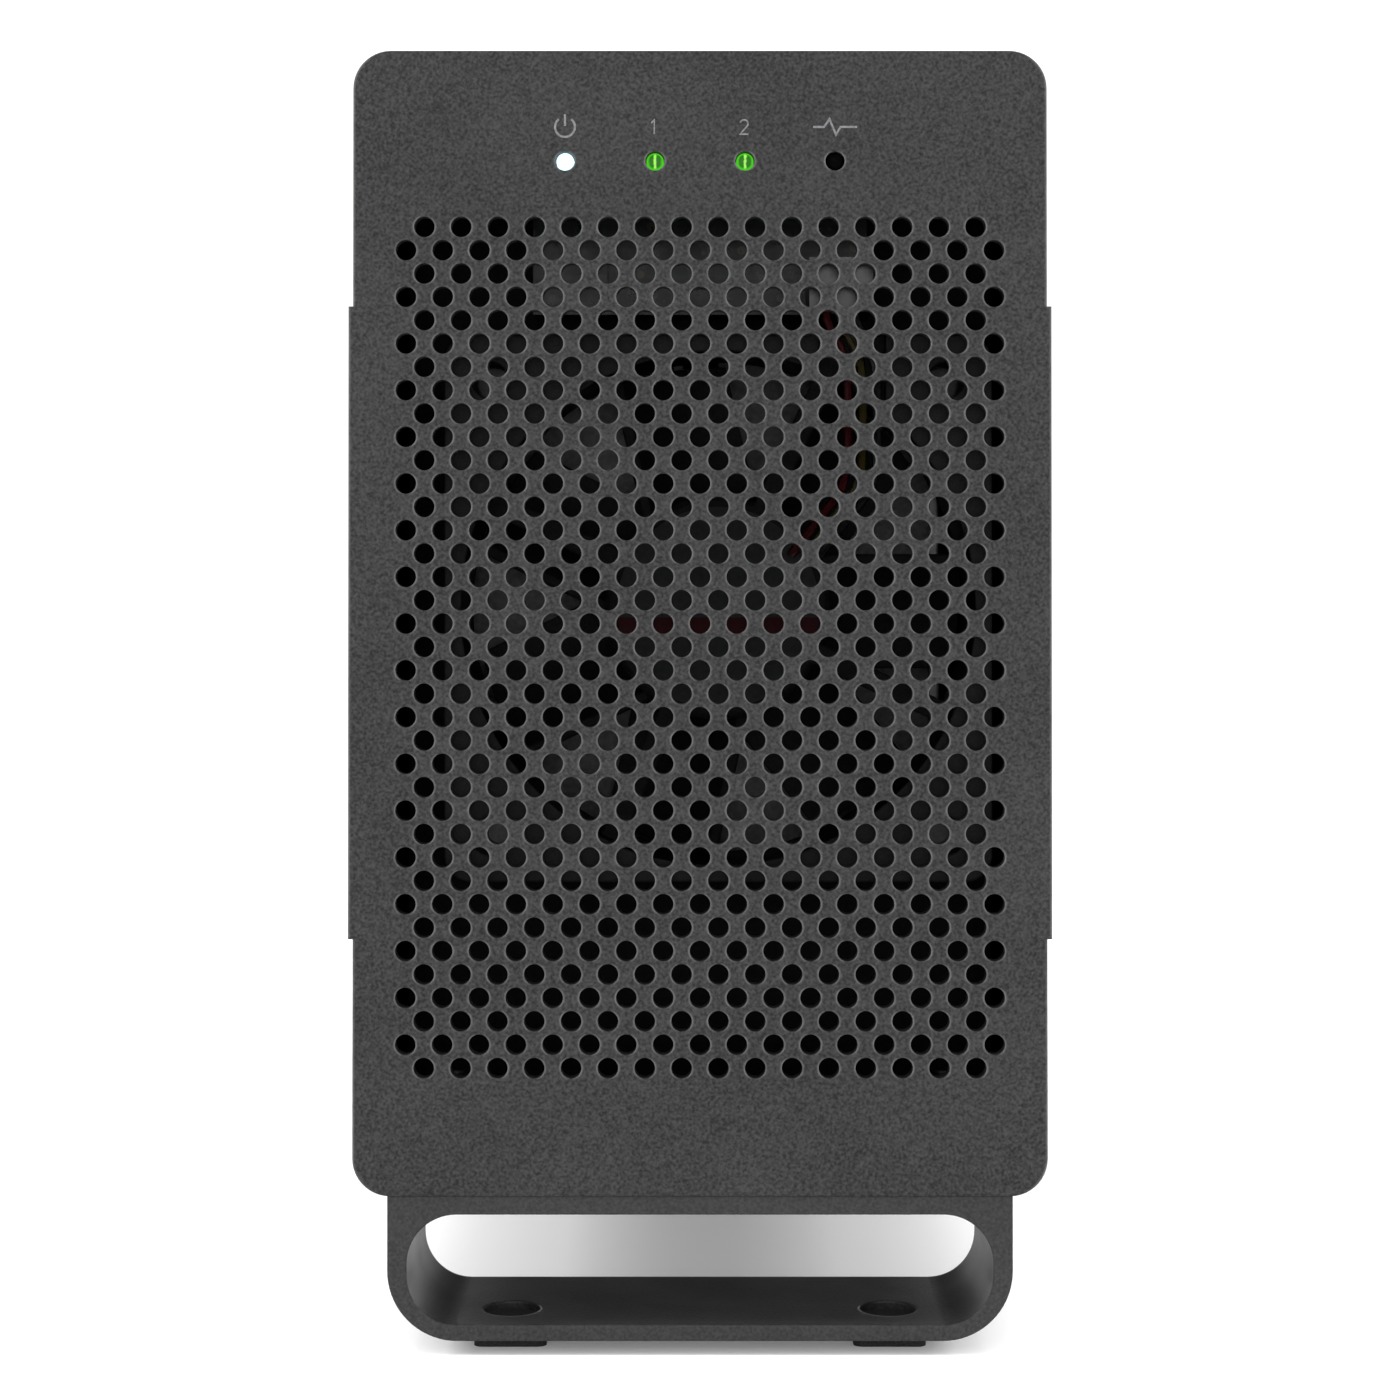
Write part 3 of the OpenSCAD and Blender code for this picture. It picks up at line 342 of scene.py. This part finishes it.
# How coated() makes the material of each slot.
SURFACES = {
    # case_grey carries painted glints: highlights painted into its colour at the left and right sides
    # of its holes.
    "case_grey": dict(colour=(0.0235, 0.0235, 0.024), grain=0.34, contrast=0.68, rough=0.6, bump=0.05,
                      wear=0.04, specular=0.18, painted_glints=7.0),
    "loop_grey": dict(colour=(0.0185, 0.0185, 0.019), grain=0.34, contrast=0.5, rough=0.36, bump=0.03,
                      wear=0.3, specular=0.26),
    "rubber": dict(colour=(0.03, 0.03, 0.03), grain=0.25, contrast=0.3, rough=0.85, bump=0.04,
                   specular=0.08),
    "black_screws": dict(colour=(0.02, 0.02, 0.021), grain=0.3, contrast=0.3, rough=0.35, bump=0.01,
                         wear=0.6, metallic=0.8),
    "steel_fasteners": dict(colour=(0.09, 0.09, 0.094), grain=0.4, contrast=0.12, rough=0.45,
                            bump=0.01, wear=0.1, metallic=0.9),
    "sheet_steel": dict(colour=(0.16, 0.16, 0.165), grain=0.8, contrast=0.15, rough=0.38, bump=0.01,
                        wear=0.2, metallic=1.0, stretch=(1, 14, 1)),
    # dark_sheet and fan_plastic sit inside the case; their colours are darkened below their own, as
    # painted shade.
    "dark_sheet": dict(colour=(0.006, 0.006, 0.0063), grain=0.4, contrast=0.25, rough=0.6, bump=0.02,
                       wear=0.1, specular=0.08),
    "fan_plastic": dict(colour=(0.0105, 0.0105, 0.011), grain=0.3, contrast=0.25, rough=0.5,
                        bump=0.01, wear=0.1, specular=0.08),
    "copper_coil": dict(colour=(0.5, 0.18, 0.06), grain=0.3, contrast=0.3, rough=0.35, bump=0.05,
                        metallic=0.8, stretch=(1, 1, 6)),
    "label_grey": dict(colour=(0.012, 0.0125, 0.013), grain=0.6, contrast=0.12, rough=0.5,
                       bump=0.005, specular=0.1),
    # The wire colours are darkened well below their own, as painted shade inside the case.
    "wire_red": dict(colour=(0.06, 0.004, 0.006), grain=0.3, contrast=0.15, rough=0.35, bump=0.01),
    "wire_yellow": dict(colour=(0.045, 0.035, 0.006), grain=0.3, contrast=0.15, rough=0.35, bump=0.01),
    "wire_black": dict(colour=(0.012, 0.012, 0.012), grain=0.3, contrast=0.2, rough=0.35, bump=0.01),
    "plug_white": dict(colour=(0.6, 0.57, 0.5), grain=0.4, contrast=0.08, rough=0.45, bump=0.01,
                       wear=0.05),
    "black_plastic": dict(colour=(0.013, 0.013, 0.014), grain=0.3, contrast=0.3, rough=0.4, bump=0.01,
                          wear=0.15),
    "button_plastic": dict(colour=(0.03, 0.03, 0.032), grain=0.3, contrast=0.2, rough=0.45,
                           bump=0.01, wear=0.2),
    "light_off": dict(colour=(0.002, 0.002, 0.002), grain=0.4, contrast=0.3, rough=0.8, bump=0.01,
                      specular=0.0),
    "cast_aluminium": dict(colour=(0.1, 0.1, 0.105), grain=0.7, contrast=0.2, rough=0.5, bump=0.03,
                           wear=0.3, metallic=0.9),
    "drive_lid": dict(colour=(0.3, 0.3, 0.31), grain=0.9, contrast=0.1, rough=0.3, bump=0.006,
                      wear=0.1, metallic=1.0, stretch=(1, 12, 1)),
    "arm_metal": dict(colour=(0.5, 0.42, 0.3), grain=0.5, contrast=0.12, rough=0.35, bump=0.01,
                      wear=0.1, metallic=1.0),
    "heat_sink_black": dict(colour=(0.02, 0.02, 0.022), grain=0.3, contrast=0.25, rough=0.45,
                            bump=0.01, wear=0.5, metallic=0.4),
    "coin_steel": dict(colour=(0.6, 0.6, 0.6), grain=0.5, contrast=0.1, rough=0.28, bump=0.006,
                       wear=0.1, metallic=1.0),
    "plated_steel": dict(colour=(0.34, 0.35, 0.36), grain=0.5, contrast=0.2, rough=0.36, bump=0.008,
                         wear=0.15, metallic=1.0),
}


def slot_materials():
    """One material for each of the record's slots."""
    materials = {name: coated(name, **look) for name, look in SURFACES.items()}
    # The board's track and pad colours are darkened below a real board's, as painted shade inside the
    # case.
    materials["circuit_board"] = circuit("circuit_board", (0.003, 0.0065, 0.0045))
    materials["ribbon_grey"] = flat_cable("ribbon_grey", (0.32, 0.33, 0.34))
    return materials


def own_material(node):
    """A material that depends on where its node is: a lit pipe end, the fan's label, platters."""
    low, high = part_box(node)
    centre = (low + high) / 2
    if node == "light_pipe_power":
        return lit(node, *WHITE, 2.2, centre)
    if node.startswith("light_pipe_drive"):
        return lit(node, *GREEN, 1.0, centre)
    if node == "fan_label":
        dull_red = (0.045, 0.002, 0.006)
        return banded_label(node, (0.03, 0.031, 0.032), dull_red, centre.z - 2 * MM, 1.9 * MM)
    if node.endswith("platters"):
        return turned_metal(node, (0.78, 0.79, 0.8), 0.08, centre)
    return None


def dress_nodes():
    """Gives each CAD node its own material, or the one of its slot."""
    shared = slot_materials()
    for part in frame["record"]["subparts"]:
        materials = frame["nodes"][part["node"]].data.materials
        materials.clear()
        materials.append(own_material(part["node"]) or shared[part["material_slot"]])


dress_nodes()


# ---------- printed symbols ----------

print_ink = coated("print_ink", (0.15, 0.15, 0.155), 0.25, 0.3, 0.7, 0.004, specular=0.1)


def stroke(points, width):
    """Left and right edges of a line of even width through 2D points."""
    left, right = [], []
    for i, point in enumerate(points):
        before = points[max(i - 1, 0)]
        after = points[min(i + 1, len(points) - 1)]
        first = (Vector(point) - Vector(before)) if before != point else Vector(after) - Vector(point)
        second = (Vector(after) - Vector(point)) if after != point else first
        along = (first.normalized() + second.normalized()).normalized()
        side = Vector((-along.y, along.x))
        reach = width / 2 / max(0.5, side.dot(Vector((-second.y, second.x)).normalized()))
        left.append(Vector(point) + side * reach)
        right.append(Vector(point) - side * reach)
    return left, right


def printed(name, lines, centre_x, width):
    """Thin solid strokes on the front plate, as printing."""
    centre_z = TOP_Z - SYMBOL_DROP
    vertices, faces = [], []
    for points in lines:
        left, right = stroke(points, width)
        start = len(vertices)
        for a, b in zip(left, right):
            for y in (FRONT_Y - PRINT_THICKNESS, FRONT_Y):
                vertices.append((centre_x + a.x, y, centre_z + a.y))
                vertices.append((centre_x + b.x, y, centre_z + b.y))
        for i in range(len(points) - 1):
            p, q = start + 4 * i, start + 4 * (i + 1)
            faces += [(p, p + 1, q + 1, q), (p + 2, q + 2, q + 3, p + 3),
                      (p, q, q + 2, p + 2), (p + 1, p + 3, q + 3, q + 1)]
        end = start + 4 * (len(points) - 1)
        faces += [(start, start + 2, start + 3, start + 1), (end, end + 1, end + 3, end + 2)]
    mesh = bpy.data.meshes.new(name)
    mesh.from_pydata(vertices, [], faces)
    mesh.update()
    piece = bpy.data.objects.new(name, mesh)
    bpy.context.scene.collection.objects.link(piece)
    piece.data.materials.append(print_ink)
    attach(piece, "chassis")


def arc(radius, start, end, steps, centre=(0, 0)):
    """Points of an arc from the start angle to the end angle, in degrees."""
    turns = [math.radians(start + (end - start) * i / steps) for i in range(steps + 1)]
    return [(centre[0] + radius * math.cos(t), centre[1] + radius * math.sin(t)) for t in turns]


def print_power():
    """A ring that is open at the top, with a short bar in the gap."""
    ring = arc(1.08 * MM, 128, 412, 40)
    bar = [(0, 0.1 * MM), (0, 1.4 * MM)]
    printed("print_power", [ring, bar], -1.5 * LIGHT_STEP, SYMBOL_STROKE)


def print_digits():
    """1 and 2, over the lights of the two drives."""
    half = 0.78 * MM
    bowl = 0.42 * MM
    aside = 0.1 * MM
    one = [(-0.3 * MM, half - 0.35 * MM), (0.02 * MM, half), (0.02 * MM, -half)]
    two = arc(bowl, 165, -35, 14, (0, half - bowl)) + [(-bowl, -half), (bowl + 0.06 * MM, -half)]
    printed("print_1", [one], -0.5 * LIGHT_STEP - aside, DIGIT_STROKE)
    printed("print_2", [two], 0.5 * LIGHT_STEP - aside, DIGIT_STROKE)


def print_activity():
    """A level line with one pulse in its middle."""
    pulse = [(-2.4 * MM, 0), (-1.2 * MM, 0), (-0.6 * MM, 0.85 * MM), (0.1 * MM, -0.85 * MM),
             (0.6 * MM, 0), (2.4 * MM, 0)]
    printed("print_activity", [pulse], 1.5 * LIGHT_STEP, SYMBOL_STROKE)


print_power()
print_digits()
print_activity()


# ---------- stage, light and camera ----------

def flat_stage():
    """A plain pale floor that reaches well past the picture."""
    r = FLOOR_REACH
    mesh = bpy.data.meshes.new("floor")
    mesh.from_pydata([(-r, -r, 0), (r, -r, 0), (r, r, 0), (-r, r, 0)], [], [(0, 1, 2, 3)])
    floor = bpy.data.objects.new("floor", mesh)
    bpy.context.scene.collection.objects.link(floor)
    s = Shader("floor_paint")
    s.colour(s.ramp(s.noise(0.4), [(0.3, (0.88, 0.88, 0.88)), (0.7, (0.9, 0.9, 0.9))]))
    s.plain(Roughness=0.9, Specular_IOR_Level=0.1, Emission_Color=(1, 1, 1),
            Emission_Strength=FLOOR_GLOW)
    floor.data.materials.append(s.material)


def soft_light(name, place, target, size, power):
    """A rectangular light at place that faces target."""
    lamp = bpy.data.lights.new(name, "AREA")
    lamp.shape = "RECTANGLE"
    lamp.size, lamp.size_y = size
    lamp.energy = power
    holder = bpy.data.objects.new(name, lamp)
    holder.location = place
    holder.rotation_euler = (Vector(target) - Vector(place)).to_track_quat("-Z", "Y").to_euler()
    bpy.context.scene.collection.objects.link(holder)


def studio():
    """A white surround, a strip on each side of the front, one light over and one before it."""
    world = bpy.data.worlds.new("studio")
    world.use_nodes = True
    background = world.node_tree.nodes["Background"]
    background.inputs["Color"].default_value = (1, 1, 1, 1)
    background.inputs["Strength"].default_value = WORLD_STRENGTH
    bpy.context.scene.world = world
    middle = (cad_box[0] + cad_box[1]) / 2
    face = Vector((0, FRONT_Y, middle.z))
    strip_y = FRONT_Y - STRIP_AHEAD
    soft_light("left_strip", (-STRIP_ASIDE, strip_y, STRIP_HEIGHT), face, STRIP_SIZE, 4.5)
    soft_light("right_strip", (STRIP_ASIDE, strip_y, STRIP_HEIGHT), face, STRIP_SIZE, 3.0)
    soft_light("overhead", (0.0, 0.1, 1.1), middle, (1.0, 1.2), 5.0)
    soft_light("front_fill", (0.0, -1.0, 0.34), face, (0.9, 0.4), 1.6)


def place_camera():
    """A camera straight before the front plate, tilted up a little, with its picture shifted."""
    data = bpy.data.cameras.new("camera")
    data.sensor_width = 36.0
    data.lens = CAMERA_LENS
    data.shift_y = CAMERA_SHIFT
    data.clip_start = 0.01
    camera = bpy.data.objects.new("camera", data)
    camera.location = (0.0, FRONT_Y - CAMERA_DISTANCE, CAMERA_HEIGHT)
    camera.rotation_euler = (math.radians(90) + CAMERA_TILT, 0, 0)
    bpy.context.scene.collection.objects.link(camera)
    bpy.context.scene.camera = camera
    bpy.context.scene.view_settings.view_transform = "Standard"
    bpy.context.scene.view_settings.look = "None"


flat_stage()
studio()
place_camera()
